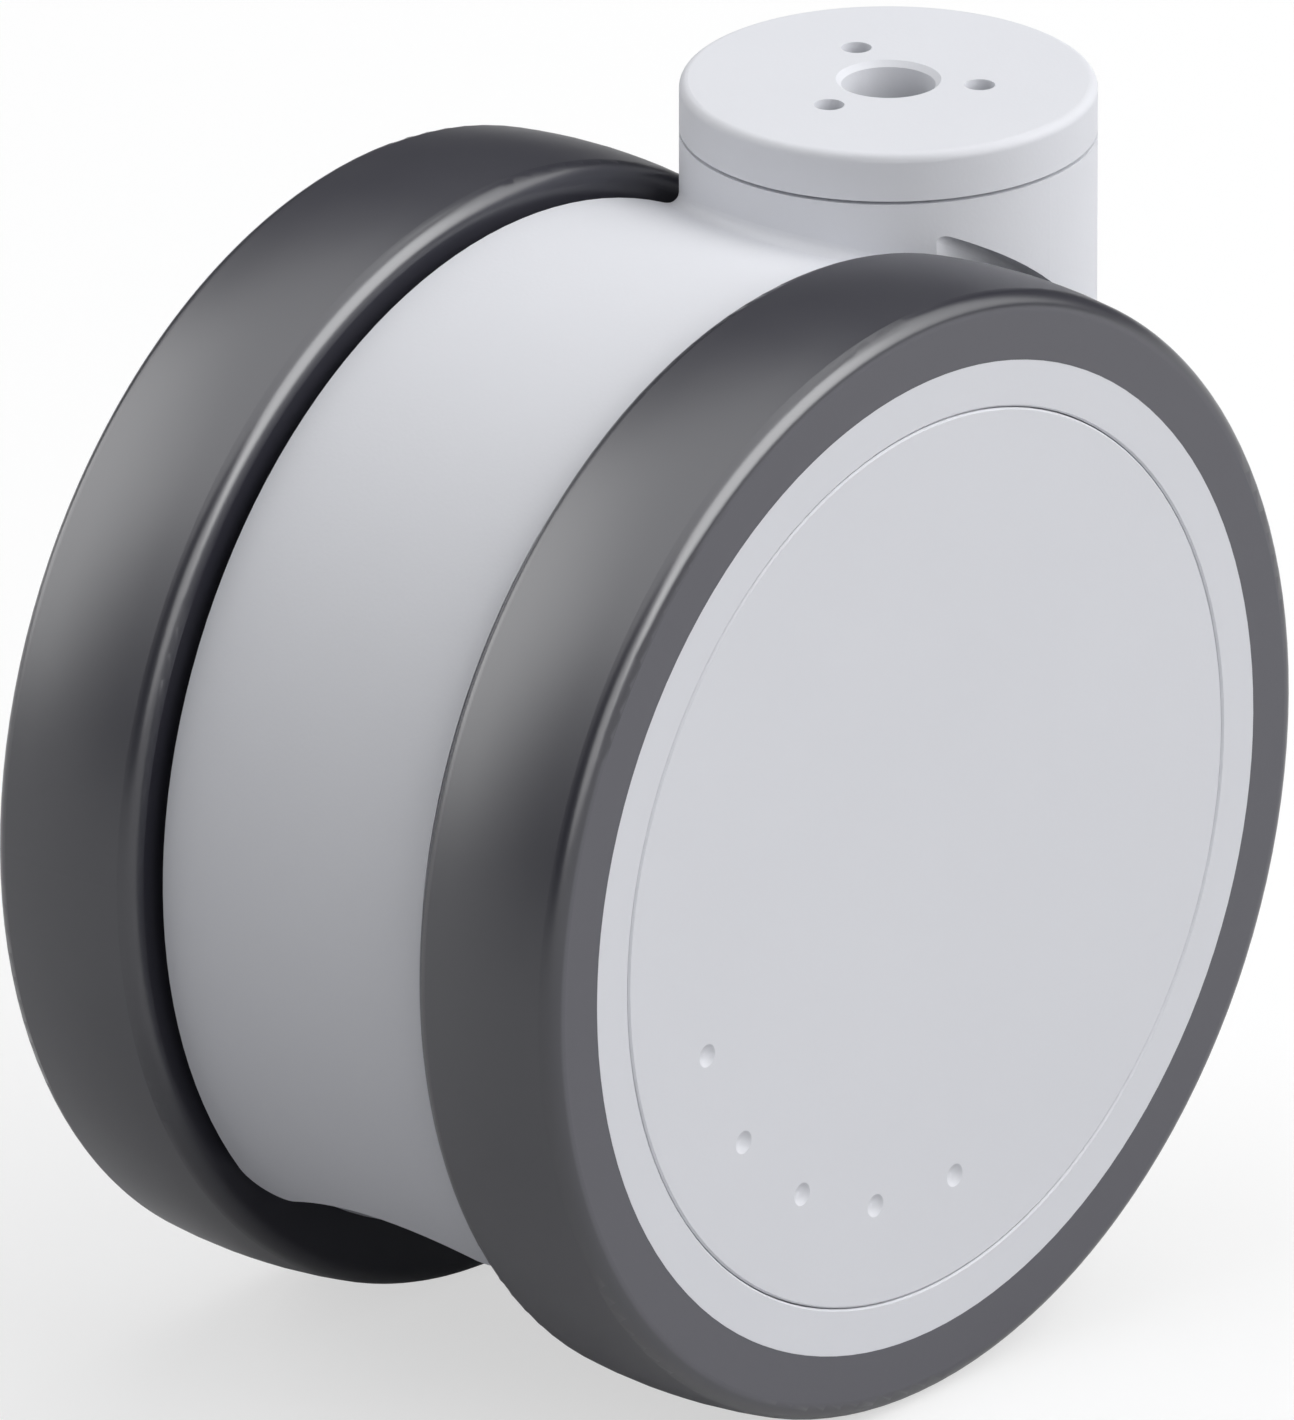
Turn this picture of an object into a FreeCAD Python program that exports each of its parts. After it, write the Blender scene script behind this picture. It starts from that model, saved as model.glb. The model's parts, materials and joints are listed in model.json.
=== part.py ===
import FreeCAD, Part
import math
import os
import re

import Sketcher

# Hooded swivel castor with two plastic wheels.
#
# Frame: the origin is the centre of the mounting face, on the swivel axis. +Z points up, out of that face.
# The axle runs along Y, behind the swivel axis on the -X side and below it. All sizes are in millimetres.

SIZES = [
    ("wheel_dia", 126.2, "tread diameter"),
    ("wheel_width", 19.6, "width of one wheel"),
    ("wheel_spacing", 39.4, "between the inner faces of the wheels"),
    ("cap_rise", 4.8, "mounting face above the top of the wheels"),
    ("swivel_offset", 40.5, "swivel axis to axle, seen from above"),

    ("tyre_thick", 8.0, "tyre, tread to rim face"),
    ("tyre_shoulder", 2.2, "round of the tread edges"),
    ("tread_crown", 60.0, "radius of the tread across its width"),
    ("tyre_key_height", 2.6, "ridge of the rim that holds the tyre"),
    ("tyre_key_width", 8.0, "width of that ridge"),

    ("rim_lip", 5.3, "ring of the rim seen round the cover"),
    ("rim_band", 8.6, "rim face to the inside of its band"),
    ("rim_web", 3.0, "web on the inner side of the wheel"),
    ("rim_rib_count", 8, "ribs between hub and band"),
    ("rim_rib_thick", 2.4, "one rib"),
    ("rim_rib_drop", 3.4, "rib edge below the cover"),
    ("hub_wall", 4.0, "hub round the race"),

    ("cover_thick", 2.6, "wheel cover"),
    ("cover_gap", 0.15, "joint between cover and rim"),
    ("cover_edge", 0.2, "chamfer along that joint"),
    ("cover_skirt", 4.0, "length of the snap skirt"),
    ("cover_skirt_wall", 1.6, "wall of the snap skirt"),
    ("dimple_count", 5, "dimples in the cover"),
    ("dimple_dia", 2.6, "one dimple"),
    ("dimple_depth", 0.5, "one dimple"),
    ("dimple_inset", 11.3, "circle of the dimples, from the edge of the cover"),
    ("dimple_pitch", 20.0, "degrees from dimple to dimple"),
    ("dimple_start", 197.0, "degrees from level to the first dimple"),

    ("axle_dia", 12.0, "axle"),
    ("roller_dia", 4.0, "wheel rollers"),
    ("roller_inset", 1.0, "race past the rollers, at each end"),
    ("roller_count", 10, "rollers in one wheel"),
    ("race_wall", 2.0, "steel race in the hub"),
    ("cage_wall", 1.6, "roller cage"),
    ("washer_rim", 5.0, "axle washers, radial"),
    ("inner_washer", 2.15, "thickness, housing side"),
    ("outer_washer", 1.0, "thickness, cover side"),
    ("axle_tail", 0.5, "axle past the circlip"),
    ("axle_end_gap", 0.4, "end of the axle to the cover"),

    ("clip_thick", 1.0, "circlips"),
    ("clip_width", 2.2, "circlips, radial"),
    ("clip_depth", 0.4, "circlip grooves"),
    ("clip_gap", 3.0, "open ends of a circlip"),
    ("clip_lug_dia", 3.2, "lugs of a circlip"),
    ("clip_hole_dia", 1.4, "holes of the lugs"),

    ("neck_dia", 45.2, "neck and cap"),
    ("cap_height", 5.4, "cap above the joint line"),
    ("cap_round", 1.0, "upper edge of the cap"),
    ("swivel_gap", 0.4, "joint line between cap and neck"),
    ("lip_inset", 2.6, "dust lip, in from the side of the cap"),
    ("lip_wall", 1.4, "dust lip under the cap"),
    ("lip_depth", 1.5, "dust lip under the cap"),
    ("lip_clear", 0.4, "room round the dust lip"),
    ("bolt_hole_dia", 10.2, "hole for the fixing bolt"),
    ("bolt_chamfer", 0.6, "upper edge of that hole"),
    ("liner_wall", 1.0, "lining of that hole, part of the cap"),
    ("pin_hole_dia", 3.3, "small holes in the mounting face"),
    ("pin_ring_dia", 20.0, "circle of the small holes"),
    ("pin_count", 3, "small holes"),

    ("flange_dia", 28.0, "flange of the sleeve"),
    ("flange_thick", 3.0, "flange of the sleeve"),
    ("collar_dia", 16.6, "collar under the flange"),
    ("sleeve_tail", 2.2, "sleeve past its circlip"),
    ("sleeve_chamfer", 0.6, "lower edge of the sleeve"),
    ("bearing_bore", 15.0, "swivel bearing"),
    ("bearing_dia", 32.0, "swivel bearing"),
    ("bearing_width", 9.0, "swivel bearing"),
    ("bearing_recess", 0.6, "bearing below the top of the neck"),
    ("bearing_land", 3.1, "open width between the rings"),
    ("ball_dia", 4.76, "swivel bearing"),
    ("ball_count", 9, "swivel bearing"),
    ("ball_cage_wall", 1.3, "ball cage, radial"),
    ("ball_cage_rim", 0.7, "ball cage beside the balls"),
    ("seal_thick", 0.4, "bearing seals"),
    ("seal_inset", 0.3, "seals below the ring faces"),
    ("journal_wall", 1.5, "tube that runs in the bush"),
    ("journal_length", 37.0, "tube that runs in the bush"),
    ("bush_wall", 2.0, "lower bush"),
    ("bush_length", 12.0, "lower bush"),
    ("bush_flange", 1.5, "lower bush"),
    ("bush_flange_rim", 2.0, "flange past the bush wall"),
    ("thrust_washer", 1.0, "washer under the journal"),

    ("hood_gap", 1.65, "side of the hood to the wheel"),
    ("hood_step", 3.95, "hood below the tread"),
    ("hood_wall", 3.0, "hood and neck walls"),
    ("cheek_wall", 2.8, "sides of the hood"),
    ("neck_fillet", 1.2, "corner between neck and hood"),
    ("pocket_clear", 1.45, "neck to tread"),
    ("pocket_round", 1.0, "corner of the wheel pockets"),
    ("bearing_floor", 4.5, "floor under the swivel bearing"),
    ("tube_wall", 3.4, "tube round the bush"),
    ("boss_wall", 6.0, "boss round the axle"),
    ("front_edge", 25.6, "front edge of the hood above the floor"),
    ("rear_edge", 39.1, "rear edge of the hood above the floor"),
    ("arch_rise", 2.7, "rise of the arch in the front edge"),
    ("edge_corner", 4.0, "corners of the front edge"),
    ("rib_thick", 2.6, "ribs in the hood"),
    ("front_rib", 30.0, "front rib ahead of the axle"),
    ("front_rib_depth", 12.0, "front rib above the axle"),

    ("press_gap", 0.02, "pressed seats"),
    ("running_gap", 0.04, "shaft and roller seats"),
    ("side_play", 0.3, "wheel hub to its washers"),
]

doc = FreeCAD.newDocument("twin_wheel_castor")
sheet = doc.addObject("Spreadsheet::Sheet", "Sizes")
for row, (alias, number, note) in enumerate(SIZES, start=1):
    sheet.set(f"A{row}", alias)
    sheet.set(f"B{row}", str(number))
    sheet.setAlias(f"B{row}", alias)
    sheet.set(f"C{row}", note)
doc.recompute()

ALIASES = re.compile(r"\b(" + "|".join(alias for alias, number, note in SIZES) + r")\b")

# Places and sizes that follow from the sheet, as formulas of its aliases.
WHEEL_R = "wheel_dia / 2"
TOTAL_HEIGHT = "(wheel_dia + cap_rise)"
AXLE_X = "-swivel_offset"
AXLE_Z = "(-(wheel_dia / 2 + cap_rise))"
RIM_R = "(wheel_dia / 2 - tyre_thick)"
KEY_R = f"({RIM_R} + tyre_key_height)"
COVER_R = f"({RIM_R} - rim_lip)"
BAND_R = f"({RIM_R} - rim_band)"
DIMPLE_RING_R = f"({COVER_R} - dimple_inset)"
AXLE_R = "axle_dia / 2"
WASHER_R = "(axle_dia / 2 + washer_rim)"
ROLLER_RING = "(axle_dia + roller_dia) / 2"
RACE_R = "(axle_dia / 2 + roller_dia + race_wall)"
HUB_R = f"({RACE_R} + hub_wall)"
RACE_START = "(inner_washer + side_play - hood_gap)"
HUB_TOP = "(wheel_width - cover_thick - axle_end_gap - axle_tail - clip_thick)"
RACE_END = f"({HUB_TOP} - outer_washer - side_play)"
RACE_LENGTH = f"({RACE_END} - {RACE_START})"
ROLLER_LENGTH = f"({RACE_LENGTH} - 2 * roller_inset)"

NECK_R = "neck_dia / 2"
NECK_TOP = "(cap_height + swivel_gap)"
LIP_R = "(neck_dia / 2 - lip_inset)"
BOLT_R = "bolt_hole_dia / 2"
LINER_R = "(bolt_hole_dia / 2 + liner_wall)"
SLEEVE_R = "bearing_bore / 2"
BEARING_TOP = f"({NECK_TOP} + bearing_recess)"
BEARING_END = f"({BEARING_TOP} + bearing_width)"
BEARING_PITCH = "(bearing_bore + bearing_dia) / 4"
JOURNAL_R = "(bearing_bore / 2 + journal_wall)"
JOURNAL_END = f"({BEARING_END} + journal_length)"
BUSH_R = f"({JOURNAL_R} + bush_wall)"
TUBE_R = f"({BUSH_R} + tube_wall)"
TUBE_END = f"({JOURNAL_END} - side_play - bush_flange)"
SLEEVE_CLIP = f"({JOURNAL_END} + thrust_washer)"

HOOD_SIDE = "(wheel_spacing / 2 - hood_gap)"
HOOD_INSIDE = f"({HOOD_SIDE} - cheek_wall)"
HOOD_R = "(wheel_dia / 2 - hood_step)"
HOOD_INSIDE_R = f"({HOOD_R} - hood_wall)"
HOOD_FRONT_X = f"(-swivel_offset - sqrt({HOOD_R} ^ 2 - (wheel_dia / 2 - front_edge) ^ 2))"
HOOD_REAR_X = f"(-swivel_offset + sqrt({HOOD_R} ^ 2 - (wheel_dia / 2 - rear_edge) ^ 2))"
HEEL_R = "(swivel_offset + neck_dia / 2)"
BOSS_R = "(axle_dia / 2 + boss_wall)"
CLIP_START = f"(wheel_spacing / 2 + {HUB_TOP})"

X_AXIS = FreeCAD.Vector(1, 0, 0)
Y_AXIS = FreeCAD.Vector(0, 1, 0)
Z_AXIS = FreeCAD.Vector(0, 0, 1)
UPRIGHT = FreeCAD.Rotation()
ALONG_Y = FreeCAD.Rotation(X_AXIS, -90)
# A wheel is drawn with its inner face at z = 0 and its cover upward.
OUT_TO_RIGHT = FreeCAD.Rotation(X_AXIS, 90)
OUT_TO_LEFT = FreeCAD.Rotation(Z_AXIS, 180).multiply(OUT_TO_RIGHT)
SIDES = {"left": (OUT_TO_LEFT, 1), "right": (OUT_TO_RIGHT, -1)}


def formula(text):
    return ALIASES.sub(r"Sizes.\1", text)


def value(text):
    return float(sheet.evalExpression(formula(text)))


def bind(item, prop, text):
    item.setExpression(prop, formula(text))


def place(item, x="0", y="0", z="0", turn=UPRIGHT):
    item.Placement = FreeCAD.Placement(FreeCAD.Vector(value(x), value(y), value(z)), turn)
    bind(item, "Placement.Base.x", x)
    bind(item, "Placement.Base.y", y)
    bind(item, "Placement.Base.z", z)


def new_body(label):
    body = doc.addObject("PartDesign::Body", label)
    body.Label = label
    return body


def origin_feature(body, role):
    return next(item for item in body.Origin.OriginFeatures if item.Role == role)


def new_sketch(body, name, plane, x="0", y="0", z="0"):
    """A sketch on one of the body's own planes, moved by x, y, z in the sketch's own directions."""
    sketch = body.newObject("Sketcher::SketchObject", name)
    sketch.AttachmentSupport = [(origin_feature(body, plane), "")]
    sketch.MapMode = "FlatFace"
    bind(sketch, "AttachmentOffset.Base.x", x)
    bind(sketch, "AttachmentOffset.Base.y", y)
    bind(sketch, "AttachmentOffset.Base.z", z)
    return sketch


def fix_point(sketch, geometry, point, x, y):
    for kind, text in (("DistanceX", x), ("DistanceY", y)):
        constraint = sketch.addConstraint(Sketcher.Constraint(kind, -1, 1, geometry, point, value(text)))
        bind(sketch, f"Constraints[{constraint}]", text)


def arc_between(start, end, radius, side):
    """The short arc from start to end, with its centre on the left or right of that direction."""
    chord = end - start
    reach = math.sqrt(max(radius * radius - chord.Length * chord.Length / 4, 0.0))
    leftward = FreeCAD.Vector(-chord.y, chord.x, 0).normalize()
    centre = (start + end) * 0.5 + leftward * (reach if side == "left" else -reach)
    first, last = (start, end) if side == "left" else (end, start)
    angles = [math.atan2(point.y - centre.y, point.x - centre.x) for point in (first, last)]
    return Part.ArcOfCircle(Part.Circle(centre, Z_AXIS, radius), angles[0], angles[1])


def draw_outline(sketch, corners):
    """A closed outline. A corner (x, y) starts a line, and (x, y, radius, side) starts an arc."""
    points = [FreeCAD.Vector(value(corner[0]), value(corner[1]), 0) for corner in corners]
    ends = []
    for index, corner in enumerate(corners):
        start, end = points[index], points[(index + 1) % len(points)]
        if len(corner) == 2:
            sketch.addGeometry(Part.LineSegment(start, end))
            ends.append((1, 2))
        else:
            sketch.addGeometry(arc_between(start, end, value(corner[2]), corner[3]))
            ends.append((1, 2) if corner[3] == "left" else (2, 1))
    for index, corner in enumerate(corners):
        after = (index + 1) % len(corners)
        sketch.addConstraint(Sketcher.Constraint("Coincident", index, ends[index][1], after, ends[after][0]))
    for index, corner in enumerate(corners):
        fix_point(sketch, index, ends[index][0], corner[0], corner[1])
        if len(corner) == 4:
            constraint = sketch.addConstraint(Sketcher.Constraint("Radius", index, value(corner[2])))
            bind(sketch, f"Constraints[{constraint}]", corner[2])


def draw_circle(sketch, x, y, radius):
    centre = FreeCAD.Vector(value(x), value(y), 0)
    index = sketch.addGeometry(Part.Circle(centre, Z_AXIS, value(radius)))
    fix_point(sketch, index, 3, x, y)
    constraint = sketch.addConstraint(Sketcher.Constraint("Radius", index, value(radius)))
    bind(sketch, f"Constraints[{constraint}]", radius)


def turned(body, name, corners, kind="PartDesign::Revolution", x="0"):
    """A round form about the line parallel to the body's Z axis at x, from an outline of (radius, z)."""
    sketch = new_sketch(body, name + "_outline", "XZ_Plane", x=x)
    draw_outline(sketch, corners)
    feature = body.newObject(kind, name)
    feature.Profile = sketch
    feature.ReferenceAxis = (sketch, ["V_Axis"])
    feature.Angle = 360
    sketch.Visibility = False
    return feature


def raised(body, name, sketch, length, both_ways=False):
    feature = body.newObject("PartDesign::Pad", name)
    feature.Profile = sketch
    bind(feature, "Length", length)
    feature.Midplane = both_ways
    return feature


def cut(body, name, sketch, length, both_ways=False):
    feature = body.newObject("PartDesign::Pocket", name)
    feature.Profile = sketch
    bind(feature, "Length", length)
    feature.Midplane = both_ways
    return feature


def ring_of(body, name, feature, count, angle="360"):
    """Copies of a feature round the body's Z axis."""
    pattern = body.newObject("PartDesign::PolarPattern", name)
    pattern.Originals = [feature]
    pattern.Axis = (origin_feature(body, "Z_Axis"), [""])
    bind(pattern, "Angle", angle)
    bind(pattern, "Occurrences", count)
    body.Tip = pattern
    return pattern


def cylinder(name, radius, length, x="0", y="0", z="0", turn=UPRIGHT):
    item = doc.addObject("Part::Cylinder", name)
    bind(item, "Radius", radius)
    bind(item, "Height", length)
    place(item, x, y, z, turn)
    return item


def block(name, x_size, y_size, z_size, x, y, z):
    """A box with its corner of smallest x, y and z at x, y, z."""
    item = doc.addObject("Part::Box", name)
    bind(item, "Length", x_size)
    bind(item, "Width", y_size)
    bind(item, "Height", z_size)
    place(item, x, y, z)
    return item


def united(name, items):
    item = doc.addObject("Part::MultiFuse", name)
    item.Shapes = items
    item.Refine = True
    return item


def without(name, base, tool):
    item = doc.addObject("Part::Cut", name)
    item.Base = base
    item.Tool = tool
    item.Refine = True
    return item


def common(name, first, second):
    item = doc.addObject("Part::Common", name)
    item.Base = first
    item.Tool = second
    return item


def rounded(name, base, edge_numbers, radius):
    item = doc.addObject("Part::Fillet", name)
    item.Base = base
    item.Edges = [(number, value(radius), value(radius)) for number in edge_numbers]
    return item


def group(label, items):
    """Separate solids that share one node."""
    item = doc.addObject("Part::Compound", label)
    item.Label = label
    item.Links = items
    return item


def pin_holes(body, top, depth):
    sketch = new_sketch(body, body.Label + "_pin_centres", "XY_Plane", z=top)
    for index in range(int(value("pin_count"))):
        angle = f"(180 + 360 / pin_count * {index})"
        draw_circle(sketch, f"pin_ring_dia / 2 * cos({angle})", f"pin_ring_dia / 2 * sin({angle})",
                    "pin_hole_dia / 2")
    return cut(body, body.Label + "_pin_holes", sketch, depth)


def make_top_cap():
    body = new_body("top_cap")
    seat = "-(cap_height - flange_thick)"
    turned(body, "cap_form", [
        (f"{BOLT_R} + bolt_chamfer", "0"),
        (f"{NECK_R} - cap_round", "0", "cap_round", "right"),
        (NECK_R, "-cap_round"),
        (NECK_R, "-cap_height"),
        (LIP_R, "-cap_height"),
        (LIP_R, "-(cap_height + lip_depth)"),
        (f"{LIP_R} - lip_wall", "-(cap_height + lip_depth)"),
        (f"{LIP_R} - lip_wall", "-cap_height"),
        ("flange_dia / 2 + press_gap", "-cap_height"),
        ("flange_dia / 2 + press_gap", seat),
        (LINER_R, seat),
        (LINER_R, "-(cap_height - press_gap)"),
        (BOLT_R, "-(cap_height - press_gap)"),
        (BOLT_R, "-bolt_chamfer"),
    ])
    pin_holes(body, "0", "cap_height")
    return body


def make_swivel_sleeve():
    body = new_body("swivel_sleeve")
    top = "-(cap_height - flange_thick)"
    groove_r = f"{SLEEVE_R} - clip_depth"
    clip_end = f"-({SLEEVE_CLIP} + clip_thick + running_gap)"
    end = f"({SLEEVE_CLIP} + clip_thick + sleeve_tail)"
    turned(body, "sleeve_form", [
        (f"{LINER_R} + press_gap", top),
        ("flange_dia / 2", top),
        ("flange_dia / 2", "-cap_height"),
        ("collar_dia / 2", "-cap_height"),
        ("collar_dia / 2", f"-{BEARING_TOP}"),
        (SLEEVE_R, f"-{BEARING_TOP}"),
        (SLEEVE_R, f"-{SLEEVE_CLIP}"),
        (groove_r, f"-{SLEEVE_CLIP}"),
        (groove_r, clip_end),
        (SLEEVE_R, clip_end),
        (SLEEVE_R, f"-({end} - sleeve_chamfer)"),
        (f"{SLEEVE_R} - sleeve_chamfer", f"-{end}"),
        (BOLT_R, f"-{end}"),
        (BOLT_R, "-cap_height"),
        (f"{LINER_R} + press_gap", "-cap_height"),
    ])
    pin_holes(body, top, "flange_thick")
    return body


def make_swivel_bearing():
    """Deep groove ball bearing, drawn about its own middle."""
    middle = f"-({BEARING_TOP} + bearing_width / 2)"
    half = "bearing_width / 2"
    groove_r = "(ball_dia / 2 + running_gap)"
    inner_land = f"({BEARING_PITCH} - bearing_land / 2)"
    outer_land = f"({BEARING_PITCH} + bearing_land / 2)"
    groove_half = f"sqrt({groove_r} ^ 2 - (bearing_land / 2) ^ 2)"

    inner_ring = new_body("swivel_bearing_inner_ring")
    turned(inner_ring, "inner_ring_form", [
        (f"{SLEEVE_R} + press_gap", f"-{half}"),
        (inner_land, f"-{half}"),
        (inner_land, f"-{groove_half}", groove_r, "right"),
        (inner_land, groove_half),
        (inner_land, half),
        (f"{SLEEVE_R} + press_gap", half),
    ])
    outer_ring = new_body("swivel_bearing_outer_ring")
    turned(outer_ring, "outer_ring_form", [
        (outer_land, f"-{half}"),
        ("bearing_dia / 2 - press_gap", f"-{half}"),
        ("bearing_dia / 2 - press_gap", half),
        (outer_land, half),
        (outer_land, groove_half, groove_r, "right"),
        (outer_land, f"-{groove_half}"),
    ])
    cage = new_body("swivel_bearing_cage")
    cage_half = "(ball_dia / 2 + ball_cage_rim)"
    turned(cage, "ball_cage_form", [
        (f"{BEARING_PITCH} - ball_cage_wall / 2", f"-{cage_half}"),
        (f"{BEARING_PITCH} + ball_cage_wall / 2", f"-{cage_half}"),
        (f"{BEARING_PITCH} + ball_cage_wall / 2", cage_half),
        (f"{BEARING_PITCH} - ball_cage_wall / 2", cage_half),
    ])
    pocket_sketch = new_sketch(cage, "ball_pocket_outline", "YZ_Plane", z=BEARING_PITCH)
    draw_circle(pocket_sketch, "0", "0", "ball_dia / 2 + running_gap")
    pocket = cut(cage, "ball_pocket", pocket_sketch, "3 * ball_cage_wall", both_ways=True)
    ring_of(cage, "ball_pockets", pocket, "ball_count")
    for ring in (inner_ring, outer_ring, cage):
        place(ring, z=middle)

    balls = []
    for index in range(int(value("ball_count"))):
        angle = f"(360 / ball_count * {index})"
        ball = doc.addObject("Part::Sphere", f"ball_{index + 1}")
        bind(ball, "Radius", "ball_dia / 2")
        place(ball, f"{BEARING_PITCH} * cos({angle})", f"{BEARING_PITCH} * sin({angle})", middle)
        balls.append(ball)

    seals = []
    for name, z in (("upper", f"-({BEARING_TOP} + seal_inset + seal_thick)"),
                    ("lower", f"-({BEARING_END} - seal_inset)")):
        disc = cylinder(f"{name}_seal_disc", f"{outer_land} - press_gap", "seal_thick", z=z)
        hole = cylinder(f"{name}_seal_hole", f"{inner_land} + running_gap", "seal_thick", z=z)
        seals.append(without(f"{name}_seal", disc, hole))
    return [inner_ring, outer_ring, cage, group("swivel_bearing_balls", balls),
            group("swivel_bearing_seals", seals)]


def make_journal_tube():
    body = new_body("journal_tube")
    turned(body, "journal_form", [
        (f"{SLEEVE_R} + press_gap", f"-{JOURNAL_END}"),
        (JOURNAL_R, f"-{JOURNAL_END}"),
        (JOURNAL_R, f"-{BEARING_END}"),
        (f"{SLEEVE_R} + press_gap", f"-{BEARING_END}"),
    ])
    return body


def make_lower_bush():
    body = new_body("lower_bush")
    bore = f"{JOURNAL_R} + running_gap"
    flange_r = f"{BUSH_R} + bush_flange_rim"
    top = f"-({TUBE_END} - bush_length)"
    turned(body, "bush_form", [
        (bore, top),
        (f"{BUSH_R} - press_gap", top),
        (f"{BUSH_R} - press_gap", f"-{TUBE_END}"),
        (flange_r, f"-{TUBE_END}"),
        (flange_r, f"-({TUBE_END} + bush_flange)"),
        (bore, f"-({TUBE_END} + bush_flange)"),
    ])
    return body


def make_thrust_washer():
    body = new_body("sleeve_washer")
    turned(body, "thrust_washer_form", [
        (f"{SLEEVE_R} + running_gap", f"-{SLEEVE_CLIP}"),
        (f"{BUSH_R} + bush_flange_rim", f"-{SLEEVE_CLIP}"),
        (f"{BUSH_R} + bush_flange_rim", f"-{JOURNAL_END}"),
        (f"{SLEEVE_R} + running_gap", f"-{JOURNAL_END}"),
    ])
    return body


def make_circlip(label, shaft_r):
    """Circlip lying on z = 0, with its open ends toward +X."""
    body = new_body(label)
    inner_r = f"({shaft_r} - clip_depth + running_gap)"
    middle_r = f"({inner_r} + clip_width / 2)"
    lug_y = "(clip_gap + clip_lug_dia) / 2"
    lug_x = f"sqrt({middle_r} ^ 2 - ({lug_y}) ^ 2)"
    ring = new_sketch(body, label + "_ring", "XY_Plane")
    draw_circle(ring, "0", "0", inner_r)
    draw_circle(ring, "0", "0", f"{inner_r} + clip_width")
    raised(body, label + "_form", ring, "clip_thick")
    opening = new_sketch(body, label + "_ends", "XY_Plane")
    draw_outline(opening, [
        ("0", "-(clip_gap / 2)"),
        (f"{middle_r} + clip_width", "-(clip_gap / 2)"),
        (f"{middle_r} + clip_width", "clip_gap / 2"),
        ("0", "clip_gap / 2"),
    ])
    cut(body, label + "_opening", opening, "3 * clip_thick", both_ways=True)
    lugs = new_sketch(body, label + "_lug_centres", "XY_Plane")
    holes = new_sketch(body, label + "_hole_centres", "XY_Plane")
    for sign in ("", "-"):
        draw_circle(lugs, f"{lug_x} + clip_lug_dia / 4", f"{sign}({lug_y})", "clip_lug_dia / 2")
        draw_circle(holes, f"{lug_x} + clip_lug_dia / 4", f"{sign}({lug_y})", "clip_hole_dia / 2")
    raised(body, label + "_lugs", lugs, "clip_thick")
    cut(body, label + "_holes", holes, "3 * clip_thick", both_ways=True)
    return body


def make_axle():
    body = new_body("axle")
    groove_r = f"{AXLE_R} - clip_depth"
    clip_end = f"({CLIP_START} + clip_thick + running_gap)"
    end = f"({CLIP_START} + clip_thick + axle_tail)"
    upper = [
        (AXLE_R, CLIP_START),
        (groove_r, CLIP_START),
        (groove_r, clip_end),
        (AXLE_R, clip_end),
        (AXLE_R, f"{end} - axle_tail / 2"),
        (f"{AXLE_R} - axle_tail / 2", end),
    ]
    lower = [(radius, f"-({z})") for radius, z in reversed(upper)]
    turned(body, "axle_form", upper + [("0", end), ("0", f"-({end})")] + lower)
    place(body, AXLE_X, "0", AXLE_Z, ALONG_Y)
    return body


def make_washer(label, thickness):
    """Axle washer lying on z = 0."""
    body = new_body(label)
    sketch = new_sketch(body, label + "_ring", "XY_Plane")
    draw_circle(sketch, "0", "0", f"{AXLE_R} + running_gap")
    draw_circle(sketch, "0", "0", WASHER_R)
    raised(body, label + "_form", sketch, thickness)
    return body


def make_tyre(side):
    body = new_body(f"{side}_tyre")
    seat = f"({RIM_R} + press_gap)"
    key_low = "((wheel_width - tyre_key_width) / 2 - press_gap)"
    key_high = "((wheel_width + tyre_key_width) / 2 + press_gap)"
    # The tread's arc runs into the rounds of its edges with no corner.
    crown_centre = f"({WHEEL_R} - tread_crown)"
    half_span = "(wheel_width / 2 - tyre_shoulder)"
    reach = f"sqrt((tread_crown - tyre_shoulder) ^ 2 - {half_span} ^ 2)"
    share = "(tread_crown / (tread_crown - tyre_shoulder))"
    shoulder_r = f"({crown_centre} + {reach})"
    tread_edge_r = f"({crown_centre} + {share} * {reach})"
    tread_edge = f"(wheel_width / 2 - {share} * {half_span})"
    turned(body, f"{side}_tyre_form", [
        (seat, "0"),
        (shoulder_r, "0", "tyre_shoulder", "left"),
        (tread_edge_r, tread_edge, "tread_crown", "left"),
        (tread_edge_r, f"wheel_width - {tread_edge}", "tyre_shoulder", "left"),
        (shoulder_r, "wheel_width"),
        (seat, "wheel_width"),
        (seat, key_high),
        (f"{KEY_R} + press_gap", key_high),
        (f"{KEY_R} + press_gap", key_low),
        (seat, key_low),
    ])
    return body


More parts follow.
